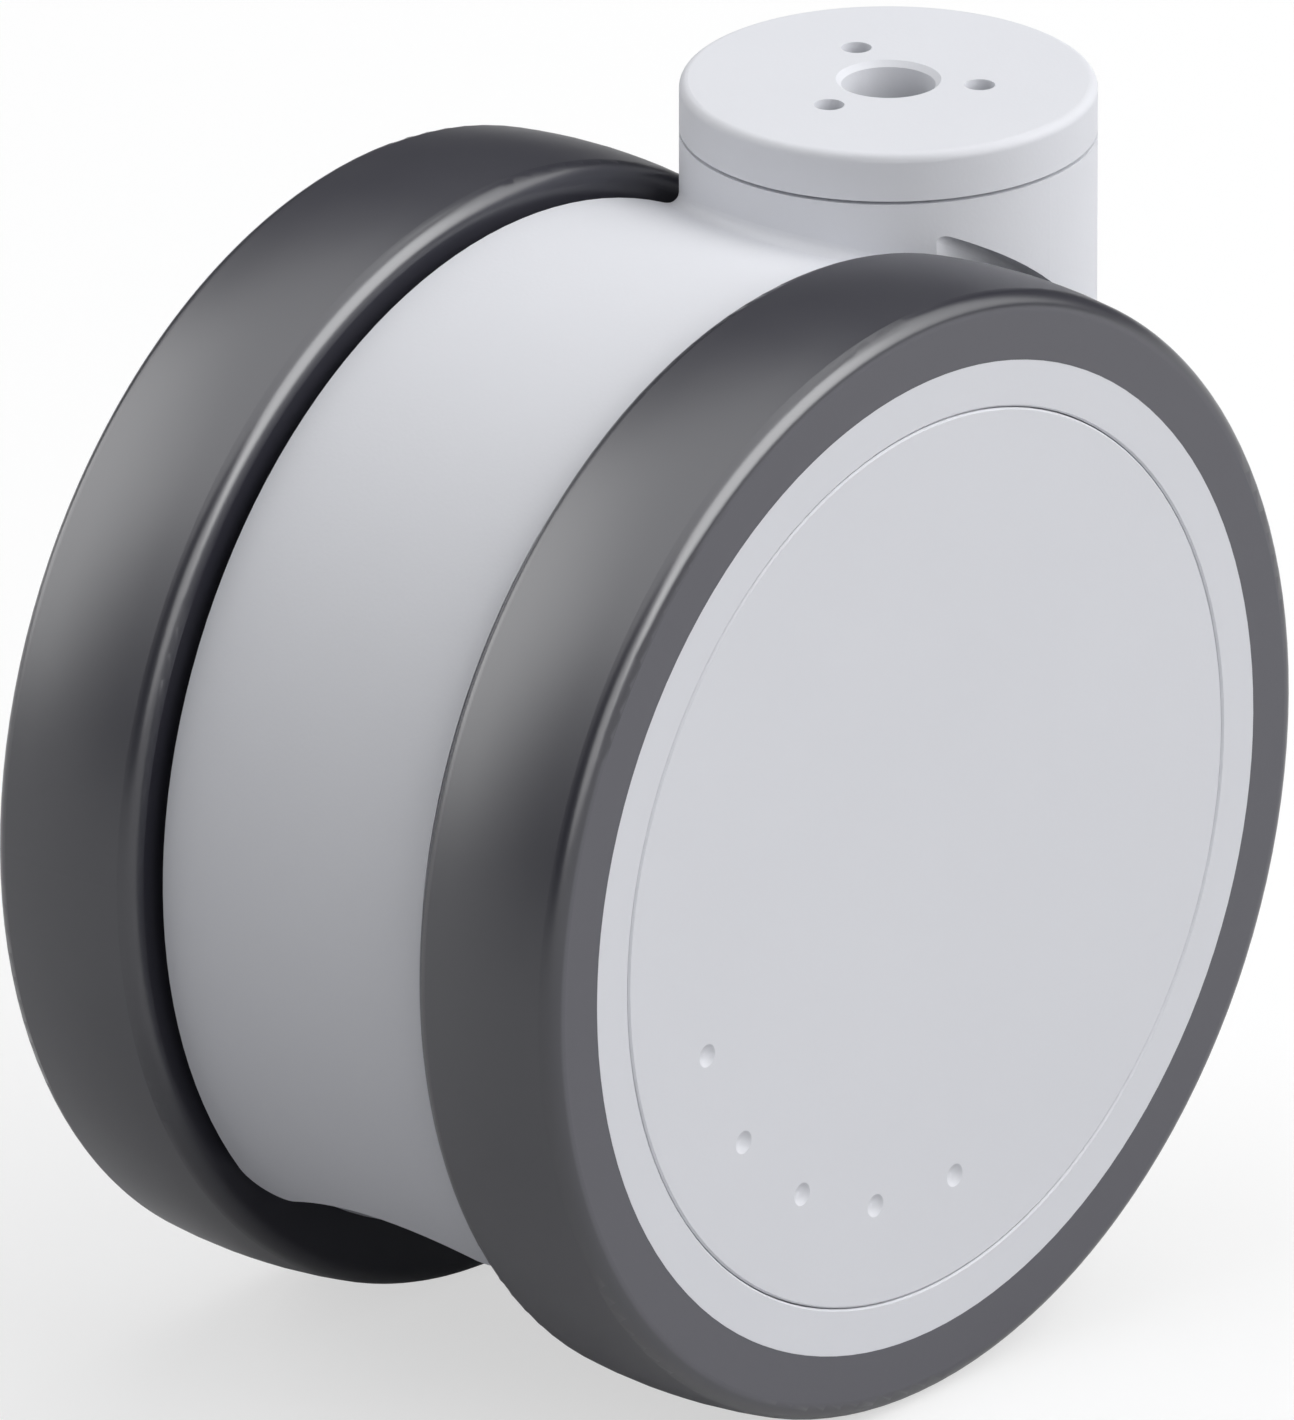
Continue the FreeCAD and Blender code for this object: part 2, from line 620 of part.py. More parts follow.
def make_rim(side):
    body = new_body(f"{side}_rim")
    recess = "(wheel_width - cover_thick)"
    turned(body, f"{side}_rim_form", [
        (RIM_R, "0"),
        (RIM_R, "(wheel_width - tyre_key_width) / 2"),
        (KEY_R, "(wheel_width - tyre_key_width) / 2"),
        (KEY_R, "(wheel_width + tyre_key_width) / 2"),
        (RIM_R, "(wheel_width + tyre_key_width) / 2"),
        (RIM_R, "wheel_width"),
        (f"{COVER_R} + cover_gap + cover_edge", "wheel_width"),
        (f"{COVER_R} + cover_gap", "wheel_width - cover_edge"),
        (f"{COVER_R} + cover_gap", recess),
        (BAND_R, recess),
        (BAND_R, "rim_web"),
        (HUB_R, "rim_web"),
        (HUB_R, HUB_TOP),
        (f"{RACE_R} + press_gap", HUB_TOP),
        (f"{RACE_R} + press_gap", "0"),
    ])
    sketch = new_sketch(body, f"{side}_rib_outline", "XY_Plane")
    draw_outline(sketch, [
        (f"{HUB_R} - hub_wall / 2", "-(rim_rib_thick / 2)"),
        (f"{BAND_R} + rim_lip / 4", "-(rim_rib_thick / 2)"),
        (f"{BAND_R} + rim_lip / 4", "rim_rib_thick / 2"),
        (f"{HUB_R} - hub_wall / 2", "rim_rib_thick / 2"),
    ])
    rib = raised(body, f"{side}_rib", sketch, f"{recess} - cover_skirt - rim_rib_drop")
    ring_of(body, f"{side}_ribs", rib, "rim_rib_count")
    return body


def make_wheel_cover(side):
    body = new_body(f"{side}_wheel_cover")
    back = "(wheel_width - cover_thick)"
    skirt_r = f"({BAND_R} - press_gap)"
    skirt_end = f"({back} - cover_skirt)"
    turned(body, f"{side}_cover_form", [
        ("0", "wheel_width"),
        ("0", back),
        (f"{skirt_r} - cover_skirt_wall", back),
        (f"{skirt_r} - cover_skirt_wall", skirt_end),
        (skirt_r, skirt_end),
        (skirt_r, back),
        (COVER_R, back),
        (COVER_R, "wheel_width - cover_edge"),
        (f"{COVER_R} - cover_edge", "wheel_width"),
    ])
    sphere_r = "((dimple_dia / 2) ^ 2 + dimple_depth ^ 2) / (2 * dimple_depth)"
    dimple = turned(body, f"{side}_dimple", [
        ("0", "wheel_width"),
        ("0", "wheel_width - dimple_depth", sphere_r, "left"),
        ("dimple_dia / 2", "wheel_width"),
    ], kind="PartDesign::Groove", x=DIMPLE_RING_R)
    ring_of(body, f"{side}_dimples", dimple, "dimple_count", "dimple_pitch * (dimple_count - 1)")
    return body


def make_race(side):
    body = new_body(f"{side}_hub_race")
    turned(body, f"{side}_race_form", [
        (f"{RACE_R} - race_wall", RACE_START),
        (RACE_R, RACE_START),
        (RACE_R, RACE_END),
        (f"{RACE_R} - race_wall", RACE_END),
    ])
    return body


def make_roller_cage(side):
    body = new_body(f"{side}_roller_cage")
    turned(body, f"{side}_cage_form", [
        (f"{ROLLER_RING} - cage_wall / 2", RACE_START),
        (f"{ROLLER_RING} + cage_wall / 2", RACE_START),
        (f"{ROLLER_RING} + cage_wall / 2", RACE_END),
        (f"{ROLLER_RING} - cage_wall / 2", RACE_END),
    ])
    middle = f"({RACE_START} + {RACE_LENGTH} / 2)"
    sketch = new_sketch(body, f"{side}_slot_outline", "YZ_Plane", z=ROLLER_RING)
    draw_outline(sketch, [
        ("-(roller_dia / 2 + running_gap)", f"{middle} - {ROLLER_LENGTH} / 2 - running_gap"),
        ("roller_dia / 2 + running_gap", f"{middle} - {ROLLER_LENGTH} / 2 - running_gap"),
        ("roller_dia / 2 + running_gap", f"{middle} + {ROLLER_LENGTH} / 2 + running_gap"),
        ("-(roller_dia / 2 + running_gap)", f"{middle} + {ROLLER_LENGTH} / 2 + running_gap"),
    ])
    slot = cut(body, f"{side}_slot", sketch, "3 * cage_wall", both_ways=True)
    ring_of(body, f"{side}_slots", slot, "roller_count")
    return body


def make_rollers(side):
    rollers = []
    start = f"{RACE_START} + roller_inset"
    for index in range(int(value("roller_count"))):
        angle = f"(360 / roller_count * {index})"
        rollers.append(cylinder(f"{side}_roller_{index + 1}", "roller_dia / 2 - running_gap", ROLLER_LENGTH,
                                f"{ROLLER_RING} * cos({angle})", f"{ROLLER_RING} * sin({angle})", start))
    return group(f"{side}_wheel_rollers", rollers)


def make_wheel(side):
    turn, sign = SIDES[side]
    pieces = [make_tyre(side), make_rim(side), make_race(side), make_roller_cage(side), make_rollers(side)]
    for piece in pieces:
        place(piece, AXLE_X, f"{sign} * wheel_spacing / 2", AXLE_Z, turn)
    cover = make_wheel_cover(side)
    clocking = FreeCAD.Rotation(Z_AXIS, value("dimple_start"))
    place(cover, AXLE_X, f"{sign} * wheel_spacing / 2", AXLE_Z, turn.multiply(clocking))
    return pieces + [cover]


def make_axle_fittings(side):
    turn, sign = SIDES[side]
    inner = make_washer(f"{side}_inner_washer", "inner_washer")
    outer = make_washer(f"{side}_outer_washer", "outer_washer")
    clip = make_circlip(f"{side}_axle_circlip", AXLE_R)
    place(inner, AXLE_X, f"{sign} * {HOOD_SIDE}", AXLE_Z, turn)
    place(outer, AXLE_X, f"{sign} * ({CLIP_START} - outer_washer)", AXLE_Z, turn)
    place(clip, AXLE_X, f"{sign} * {CLIP_START}", AXLE_Z, turn)
    return [inner, outer, clip]


def ahead_of_swivel(name, item):
    """The part of an item on the axle's side of the swivel axis."""
    reach = "(2 * wheel_dia)"
    side = block(f"{name}_side", reach, reach, reach, f"-{reach}", f"-{reach} / 2", f"-{reach}")
    return common(name, item, side)


def make_hood_drum():
    """Drum about the axle. Behind the swivel axis it runs on straight, past the back of the neck."""
    body = new_body("hood_drum")
    rise = f"sqrt({HOOD_R} ^ 2 - swivel_offset ^ 2)"
    sketch = new_sketch(body, "hood_drum_outline", "XZ_Plane")
    draw_outline(sketch, [
        ("0", f"{AXLE_Z} + {rise}", HOOD_R, "left"),
        (f"-(swivel_offset + {HOOD_R})", AXLE_Z, HOOD_R, "left"),
        ("0", f"{AXLE_Z} - {rise}"),
        ("neck_dia", f"{AXLE_Z} - {rise}"),
        ("neck_dia", f"{AXLE_Z} + {rise} - neck_dia * swivel_offset / {rise}"),
    ])
    raised(body, "hood_drum_form", sketch, f"2 * ({NECK_R} + neck_fillet + hood_wall)", both_ways=True)
    return body


def make_hood_outside():
    """Hood drum and neck column with a round corner between them, before anything is cut away."""
    column = cylinder("neck_column", NECK_R, TOTAL_HEIGHT, z=f"-({NECK_TOP} + {TOTAL_HEIGHT})")
    blank = united("hood_blank", [make_hood_drum(), column])
    doc.recompute()
    saddle = [number for number, edge in enumerate(blank.Shape.Edges, start=1)
              if not isinstance(edge.Curve, (Part.Line, Part.Circle))]
    front = ahead_of_swivel("hood_front", rounded("hood_rounded", blank, saddle, "neck_fillet"))
    return united("hood_outside", [front, column])


def make_wheel_pocket(side):
    """Room for one wheel beside the hood and in the side of the neck."""
    turn, sign = SIDES[side]
    body = new_body(f"{side}_wheel_pocket")
    radius = f"({WHEEL_R} + pocket_clear)"
    turned(body, f"{side}_pocket_form", [
        ("0", "0"),
        (f"{radius} - pocket_round", "0", "pocket_round", "left"),
        (radius, "pocket_round"),
        (radius, NECK_R),
        ("0", NECK_R),
    ])
    place(body, AXLE_X, f"{sign} * {HOOD_SIDE}", AXLE_Z, turn)
    return body


def make_heel_trim(name, radius):
    """All behind the swivel axis, below the axle and outside a circle about it."""
    width = "2 * neck_dia"
    lower = block(f"{name}_block", "neck_dia", width, f"2 * {radius}", "0", "-neck_dia",
                  f"{AXLE_Z} - 2 * {radius}")
    keep = cylinder(f"{name}_circle", radius, width, AXLE_X, "-neck_dia", AXLE_Z, ALONG_Y)
    return without(name, lower, keep)


def make_underside():
    """All below the lower edge of the hood, which slopes up to the rear and has an arch in front."""
    body = new_body("underside")
    corner_y = f"({HOOD_SIDE} - edge_corner)"
    lift = "(edge_corner - arch_rise)"
    arch_r = f"(({corner_y} ^ 2 + {lift} ^ 2 - edge_corner ^ 2) / (2 * arch_rise))"
    share = f"({arch_r} / ({arch_r} + edge_corner))"
    tangent_y = f"({share} * {corner_y})"
    tangent_z = f"({share} * ({arch_r} + {lift}) - {arch_r})"
    far = "neck_dia"
    depth = f"-{TOTAL_HEIGHT}"
    sketch = new_sketch(body, "underside_outline", "YZ_Plane")
    draw_outline(sketch, [
        (f"-{far}", depth),
        (far, depth),
        (far, lift),
        (HOOD_SIDE, lift, "edge_corner", "right"),
        (tangent_y, tangent_z, arch_r, "left"),
        (f"-{tangent_y}", tangent_z, "edge_corner", "right"),
        (f"-{HOOD_SIDE}", lift),
        (f"-{far}", lift),
    ])
    raised(body, "underside_form", sketch, "4 * wheel_dia", both_ways=True)
    slope = f"atan((rear_edge - front_edge) / ({HOOD_REAR_X} - {HOOD_FRONT_X}))"
    place(body, HOOD_FRONT_X, "0", f"front_edge - {TOTAL_HEIGHT}", FreeCAD.Rotation(-Y_AXIS, 1))
    bind(body, "Placement.Rotation.Angle", slope)
    return body


def make_hollow():
    """Inside of the hood and neck, round the bush tube, the axle boss and the ribs."""
    width = f"2 * {HOOD_INSIDE}"
    top = f"({BEARING_END} + bearing_floor)"
    drum = cylinder("hollow_drum", HOOD_INSIDE_R, width, AXLE_X, f"-{HOOD_INSIDE}", AXLE_Z, ALONG_Y)
    column = cylinder("hollow_column", f"{NECK_R} - hood_wall", TOTAL_HEIGHT, z=f"-({top} + {TOTAL_HEIGHT})")
    between = block("between_cheeks", "neck_dia", width, f"2 * {TOTAL_HEIGHT}", f"-{NECK_R}", f"-{HOOD_INSIDE}",
                    f"-2 * {TOTAL_HEIGHT}")
    tube = cylinder("bush_tube", TUBE_R, TUBE_END, z=f"-{TUBE_END}")
    boss = cylinder("axle_boss", BOSS_R, width, AXLE_X, f"-{HOOD_INSIDE}", AXLE_Z, ALONG_Y)
    long_rib = block("long_rib", "swivel_offset", "rib_thick", f"{TUBE_END} + {AXLE_Z} + {TOTAL_HEIGHT} / 2",
                     AXLE_X, "-(rib_thick / 2)", f"-{TUBE_END}")
    boss_rib = block("boss_rib", "rib_thick", width, TOTAL_HEIGHT, "-(swivel_offset + rib_thick / 2)",
                     f"-{HOOD_INSIDE}", AXLE_Z)
    front_rib = block("front_rib_plate", "rib_thick", width, TOTAL_HEIGHT,
                      "-(swivel_offset + front_rib + rib_thick / 2)", f"-{HOOD_INSIDE}",
                      f"{AXLE_Z} + front_rib_depth")
    neck = without("hollow_neck", common("hollow_neck_blank", column, between),
                   make_heel_trim("hollow_heel", f"({HEEL_R} - hood_wall)"))
    space = united("hollow_space", [ahead_of_swivel("hollow_front", drum), neck])
    kept = united("hollow_kept", [tube, boss, long_rib, boss_rib, front_rib])
    return without("hood_hollow", space, kept)


def make_neck_bores():
    """Seat of the swivel bearing, way of the journal and seat of the bush."""
    body = new_body("neck_bores")
    bush_top = f"-({TUBE_END} - bush_length)"
    turned(body, "neck_bores_form", [
        ("0", "0"),
        ("0", f"-({TUBE_END} + tube_wall)"),
        (BUSH_R, f"-({TUBE_END} + tube_wall)"),
        (BUSH_R, bush_top),
        (f"{BUSH_R} - bush_wall / 2", bush_top),
        (f"{BUSH_R} - bush_wall / 2", f"-{BEARING_END}"),
        ("bearing_dia / 2", f"-{BEARING_END}"),
        ("bearing_dia / 2", "0"),
    ])
    return body


def make_lip_groove():
    body = new_body("lip_groove")
    depth = f"-({NECK_TOP} + lip_depth)"
    turned(body, "lip_groove_form", [
        (f"{LIP_R} - lip_wall - lip_clear", "0"),
        (f"{LIP_R} - lip_wall - lip_clear", depth),
        (f"{LIP_R} + lip_clear", depth),
        (f"{LIP_R} + lip_clear", "0"),
    ])
    return body


def make_housing():
    bore = cylinder("axle_bore", f"{AXLE_R} + press_gap", "2 * wheel_spacing", AXLE_X, "-wheel_spacing", AXLE_Z,
                    ALONG_Y)
    solid = make_hood_outside()
    outer_tools = [make_wheel_pocket("left"), make_wheel_pocket("right"), make_heel_trim("heel", HEEL_R),
                   make_underside()]
    for number, tool in enumerate(outer_tools, start=1):
        solid = without(f"hood_cut_{number}", solid, tool)
    for number, tool in enumerate([make_hollow(), make_neck_bores(), make_lip_groove(), bore], start=1):
        solid = without(f"housing_{number}", solid, tool)
    solid.Label = "housing"
    return solid


pieces = [make_top_cap(), make_swivel_sleeve()]
pieces += make_swivel_bearing()
pieces += [make_journal_tube(), make_lower_bush(), make_thrust_washer()]
sleeve_clip = make_circlip("sleeve_circlip", SLEEVE_R)
place(sleeve_clip, z=f"-({SLEEVE_CLIP} + clip_thick)")
pieces += [sleeve_clip, make_housing(), make_axle()]
for side in SIDES:
    pieces += make_axle_fittings(side)
    pieces += make_wheel(side)

doc.recompute()
for item in doc.Objects:
    if "Invalid" in item.State or "Error" in item.State:
        raise RuntimeError(f"{item.Label} failed: {item.State}")
for piece in pieces:
    if piece.Shape.isNull() or not piece.Shape.isValid():
        raise RuntimeError(f"{piece.Label} has no valid shape")

os.makedirs("parts", exist_ok=True)
for piece in pieces:
    piece.Shape.exportStep(f"parts/{piece.Label}.step")
    print(f"{piece.Label}: {len(piece.Shape.Solids)} solids, {piece.Shape.Volume:.1f} mm3")
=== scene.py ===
import json
import math

import bpy
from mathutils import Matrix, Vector


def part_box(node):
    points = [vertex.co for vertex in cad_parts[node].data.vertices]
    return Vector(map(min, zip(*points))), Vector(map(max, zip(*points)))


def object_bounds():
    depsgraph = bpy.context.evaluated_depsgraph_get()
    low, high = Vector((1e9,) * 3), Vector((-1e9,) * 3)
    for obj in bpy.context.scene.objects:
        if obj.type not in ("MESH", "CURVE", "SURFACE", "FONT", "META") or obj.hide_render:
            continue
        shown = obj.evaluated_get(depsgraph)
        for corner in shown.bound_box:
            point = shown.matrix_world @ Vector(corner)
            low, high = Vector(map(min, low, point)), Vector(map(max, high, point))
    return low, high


# Studio picture of a hooded swivel castor with two plastic wheels. Lengths are in metres.

MM = 0.001

# The photograph's frame, its viewing angle and the point in its middle. It has next to no perspective, so
# the lens is long and the camera far away. The lens and the sensor are in millimetres, as Blender has them.
PHOTO_HEIGHT = 1420
PHOTO_PIXELS_PER_MM = 9.286
VIEW_AZIMUTH = math.radians(-50.0)
VIEW_ELEVATION = math.radians(21.93)
VIEW_CENTRE = Vector((-40.5, 0.0, -60.86)) * MM
LENS = 1200.0
SENSOR = 36.0
FARTHEST_SEEN = 100.0

# Colours, as linear values.
HOOD_GREY = (0.775, 0.785, 0.825)
HOOD_GREY_DEEP = (0.760, 0.770, 0.810)
WHEEL_GREY = (0.738, 0.747, 0.785)
WHEEL_GREY_DEEP = (0.725, 0.734, 0.772)
TYRE_DARK = (0.022, 0.022, 0.032)
TYRE_WORN = (0.027, 0.027, 0.037)
TYRE_SIDE = (0.051, 0.050, 0.065)
GROUND_STEEL = (0.58, 0.58, 0.60)
DULL_STEEL = (0.46, 0.46, 0.48)
NATURAL_NYLON = (0.74, 0.71, 0.62)
NYLON_SHADE = (0.66, 0.63, 0.54)
BLACK_NYLON = (0.030, 0.030, 0.033)
BLACK_NYLON_DULL = (0.045, 0.045, 0.048)
SEAL_BLACK = (0.016, 0.016, 0.017)
SEAL_DUST = (0.032, 0.032, 0.032)

# Finishes. Clouds, ripples, grain, marks and patches are sizes of a noise, a bump is a depth and a strength,
# and an unevenness is the most that the noise takes from the roughness and the most that it adds.

# Light grey plastics.
PLASTIC_CLOUDS = 22 * MM
PLASTIC_RIPPLES = 7 * MM
RIPPLE_BUMP = (0.04 * MM, 0.25)
RIPPLE_OFFSET = (0.3, 0.1, 0.7)
PLASTIC_GRAIN = 0.45 * MM
HOOD_GRAIN_BUMP = (0.020 * MM, 0.5)
WHEEL_GRAIN_BUMP = (0.012 * MM, 0.5)
HOOD_ROUGHNESS = 0.52
WHEEL_ROUGHNESS = 0.48
PLASTIC_UNEVENNESS = (0.05, 0.07)
PLASTIC_IOR = 1.46
PLASTIC_SPECULAR = 0.1

# Tyres. A turn is the sideways part of the normal where the next zone starts and where it is complete.
TYRE_CLOUDS = 14 * MM
TYRE_GRAIN = 0.6 * MM
TYRE_GRAIN_BUMP = (0.004 * MM, 0.06)
SHOULDER_TURN = (0.15, 0.45)
FLAT_TURN = (0.94, 0.995)
TREAD_ROUGHNESS = 0.38
SHOULDER_ROUGHNESS = 0.28
WORN_ROUGHER = 0.02
FLAT_ROUGHER = 0.14
TYRE_IOR = 1.5
TYRE_SPECULAR = 0.80

# Steel and the small mouldings.
GRINDING_MARKS = 0.12 * MM
GRINDING_STRETCH = (9.0, 1.0, 9.0)
GRINDING_BUMP = (0.004 * MM, 0.5)
GRINDING_ROUGHNESS = (0.20, 0.34)
STEEL_PATCHES = 6 * MM
DULL_ROUGHER = 0.10
SMALL_CLOUDS = 4 * MM
SMALL_GRAIN = 0.25 * MM
SMALL_GRAIN_BUMP = (0.008 * MM, 0.4)
SMALL_UNEVENNESS = (0.06, 0.08)
BUSH_ROUGHNESS = 0.42
CAGE_ROUGHNESS = 0.40
SEAL_ROUGHNESS = 0.62

# The part of a noise's range over which clouds blend: nearly all of it, so that no contour lines show.
WHOLE_NOISE = (0.1, 0.9)

FLOOR_SIZE = 40.0
FLOOR_WHITE = (0.98, 0.98, 0.98)
FLOOR_BOUNCE = (0.34, 0.34, 0.35)
FLOOR_GLOW = 0.60
FLOOR_ROUGHNESS = 0.9
SKY_COLOUR = (0.97, 0.98, 1.0)
SKY_LEVEL = 0.10

# Lamps: name, then azimuth, elevation, width and height in degrees as seen from the object, then level.
# The azimuth is counted from the camera to its right. The sheens only show in reflections, and the right one
# leaves out the part of its softbox that would glare on the tyres when they are seen from behind.
LAMP_DISTANCE = 3.0
SHEEN_DISTANCE = 3.1
SOFTBOXES = (
    ("right_softbox", 82, 38, 78, 54, 1.13),
    ("front_softbox", 20, 20, 40, 30, 0.16),
    ("left_softbox", -105, 25, 46, 44, 0.42),
    ("top_softbox", -90, 80, 70, 66, 0.22),
)
SHEENS = (
    ("right_sheen", 63, 40, 54, 48, 1.4),
    ("front_sheen", 20, 20, 40, 30, 0.25),
    ("left_sheen", -105, 25, 46, 44, 0.55),
    ("top_sheen", -90, 80, 70, 66, 1.05),
)
REAR_FILL = ("rear_fill", 150, 55, 60, 40, 0.23)

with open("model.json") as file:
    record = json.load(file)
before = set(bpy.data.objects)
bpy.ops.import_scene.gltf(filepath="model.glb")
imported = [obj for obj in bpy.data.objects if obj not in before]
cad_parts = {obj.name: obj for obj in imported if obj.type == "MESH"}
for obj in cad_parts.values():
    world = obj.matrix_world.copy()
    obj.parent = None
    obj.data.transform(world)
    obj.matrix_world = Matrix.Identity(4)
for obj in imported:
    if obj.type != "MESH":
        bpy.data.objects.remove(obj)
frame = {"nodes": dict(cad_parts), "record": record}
cad_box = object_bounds()
scene = bpy.context.scene


class Finish:
    """A material whose shader values come from procedural nodes in the object's own coordinates."""

    def __init__(self, name):
        self.material = bpy.data.materials.new(name)
        self.material.use_nodes = True
        self.tree = self.material.node_tree
        self.tree.nodes.clear()
        self.shader = self.node("ShaderNodeBsdfPrincipled")
        output = self.node("ShaderNodeOutputMaterial")
        self.link(self.shader.outputs["BSDF"], output.inputs["Surface"])
        self.coordinates = self.node("ShaderNodeTexCoord")

    def node(self, kind):
        return self.tree.nodes.new(kind)

    def link(self, start, end):
        self.tree.links.new(start, end)

    def constants(self, **values):
        """Sets shader inputs to plain values, with underscores for the spaces in their names."""
        for name, value in values.items():
            self.shader.inputs[name.replace("_", " ")].default_value = value

    def noise(self, size, detail=2.0, stretch=(1.0, 1.0, 1.0), offset=(0.0, 0.0, 0.0)):
        """Noise with features of about the given size, longer along the axes with a larger stretch."""
        mapping = self.node("ShaderNodeMapping")
        mapping.inputs["Location"].default_value = offset
        mapping.inputs["Scale"].default_value = [1.0 / factor for factor in stretch]
        self.link(self.coordinates.outputs["Object"], mapping.inputs["Vector"])
        noise = self.node("ShaderNodeTexNoise")
        noise.inputs["Scale"].default_value = 1.0 / size
        noise.inputs["Detail"].default_value = detail
        self.link(mapping.outputs["Vector"], noise.inputs["Vector"])
        return noise.outputs["Fac"]

    def ranged(self, source, low, high, start=0.3, end=0.7):
        """The source between start and end, spread over low to high."""
        mapped = self.node("ShaderNodeMapRange")
        mapped.interpolation_type = "SMOOTHSTEP"
        mapped.inputs["From Min"].default_value = start
        mapped.inputs["From Max"].default_value = end
        mapped.inputs["To Min"].default_value = low
        mapped.inputs["To Max"].default_value = high
        self.link(source, mapped.inputs["Value"])
        return mapped.outputs["Result"]

    def maths(self, operation, first, second):
        """The result of an operation on two values, each a number or a node's output."""
        maths = self.node("ShaderNodeMath")
        maths.operation = operation
        for socket, value in zip(maths.inputs, (first, second)):
            if isinstance(value, (int, float)):
                socket.default_value = value
            else:
                self.link(value, socket)
        return maths.outputs["Value"]

    def blend(self, factor, first, second):
        """A colour between two, each a plain colour or a node's output."""
        mix = self.node("ShaderNodeMix")
        mix.data_type = "RGBA"
        self.link(factor, mix.inputs["Factor"])
        for name, colour in (("A", first), ("B", second)):
            socket = next(item for item in mix.inputs if item.name == name and item.type == "RGBA")
            if isinstance(colour, tuple):
                socket.default_value = (*colour, 1.0)
            else:
                self.link(colour, socket)
        return next(item for item in mix.outputs if item.type == "RGBA")

    def sideways(self, vector, start, end):
        """0 to 1 as the Y of the position or the normal, taken without its sign, goes from start to end."""
        parts = self.node("ShaderNodeSeparateXYZ")
        self.link(self.coordinates.outputs[vector], parts.inputs["Vector"])
        return self.ranged(self.maths("ABSOLUTE", parts.outputs["Y"], 0.0), 0.0, 1.0, start, end)

    def colour(self, source):
        self.link(source, self.shader.inputs["Base Color"])

    def roughness(self, source):
        self.link(source, self.shader.inputs["Roughness"])

    def uneven(self, source, rough, unevenness):
        """Roughness that follows a noise to both sides of a middle value."""
        less, more = unevenness
        self.roughness(self.ranged(source, rough - less, rough + more))

    def bumps(self, *layers):
        """Bump from (height source, (depth in metres, strength)), one over the other."""
        last = None
        for height, (depth, strength) in layers:
            bump = self.node("ShaderNodeBump")
            bump.inputs["Distance"].default_value = depth
            bump.inputs["Strength"].default_value = strength
            self.link(height, bump.inputs["Height"])
            if last is not None:
                self.link(last, bump.inputs["Normal"])
            last = bump.outputs["Normal"]
        self.link(last, self.shader.inputs["Normal"])


def moulded_plastic(name, light, deep, grain_bump, rough):
    """Light grey moulded plastic: a fine eroded grain, faint flow clouds and an uneven satin sheen."""
    finish = Finish(name)
    clouds = finish.noise(PLASTIC_CLOUDS, detail=3.0)
    grain = finish.noise(PLASTIC_GRAIN, detail=1.0)
    ripples = finish.noise(PLASTIC_RIPPLES, detail=1.0, offset=RIPPLE_OFFSET)
    finish.colour(finish.blend(finish.ranged(clouds, 0.0, 1.0, *WHOLE_NOISE), light, deep))
    finish.uneven(grain, rough, PLASTIC_UNEVENNESS)
    finish.bumps((ripples, RIPPLE_BUMP), (grain, grain_bump))
    finish.constants(IOR=PLASTIC_IOR, Specular_IOR_Level=PLASTIC_SPECULAR)
    return finish.material


def tyre_rubber(name):
    """Dark soft plastic: a satin tread, glossier shoulders and a lighter, duller flat on the outer side. The
    inner flats keep the tread's dark colour as painted shade in the gap beside the hood.
    """
    finish = Finish(name)
    low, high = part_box("left_tyre")
    outside = finish.sideways("Object", low.y, high.y)
    outer_flat = finish.maths("MULTIPLY", outside, finish.sideways("Normal", *FLAT_TURN))
    shoulder = finish.sideways("Normal", *SHOULDER_TURN)
    wear = finish.ranged(finish.noise(TYRE_CLOUDS), 0.0, 1.0, *WHOLE_NOISE)
    grain = finish.noise(TYRE_GRAIN, detail=1.0)
    tread_and_inner_shade = finish.blend(wear, TYRE_DARK, TYRE_WORN)
    # Only the outer flats get the side colour. The inner flats keep the tread's dark colour, which is
    # painted shade for the gap between tyre and hood.
    finish.colour(finish.blend(outer_flat, tread_and_inner_shade, TYRE_SIDE))
    worn = finish.maths("MULTIPLY", wear, WORN_ROUGHER)
    zones = finish.ranged(shoulder, TREAD_ROUGHNESS, SHOULDER_ROUGHNESS, 0.0, 1.0)
    polished = finish.maths("ADD", worn, zones)
    finish.roughness(finish.maths("ADD", polished, finish.maths("MULTIPLY", outer_flat, FLAT_ROUGHER)))
    finish.bumps((grain, TYRE_GRAIN_BUMP))
    finish.constants(IOR=TYRE_IOR, Specular_IOR_Level=TYRE_SPECULAR)
    return finish.material


def ground_steel(name):
    """Bare ground steel with fine grinding marks and a few dull patches."""
    finish = Finish(name)
    marks = finish.noise(GRINDING_MARKS, detail=2.0, stretch=GRINDING_STRETCH)
    patches = finish.noise(STEEL_PATCHES, detail=3.0)
    finish.colour(finish.blend(finish.ranged(patches, 0.0, 1.0), GROUND_STEEL, DULL_STEEL))
    scratched = finish.ranged(marks, *GRINDING_ROUGHNESS)
    finish.roughness(finish.maths("ADD", scratched, finish.ranged(patches, 0.0, DULL_ROUGHER)))
    finish.bumps((marks, GRINDING_BUMP))
    finish.constants(Metallic=1.0)
    return finish.material


def plain_moulding(name, light, dark, rough):
    """A small moulded piece, smooth, with faint clouds in its colour and sheen."""
    finish = Finish(name)
    clouds = finish.noise(SMALL_CLOUDS, detail=4.0)
    grain = finish.noise(SMALL_GRAIN, detail=1.0)
    finish.colour(finish.blend(finish.ranged(clouds, 0.0, 1.0), light, dark))
    finish.uneven(clouds, rough, SMALL_UNEVENNESS)
    finish.bumps((grain, SMALL_GRAIN_BUMP))
    return finish.material


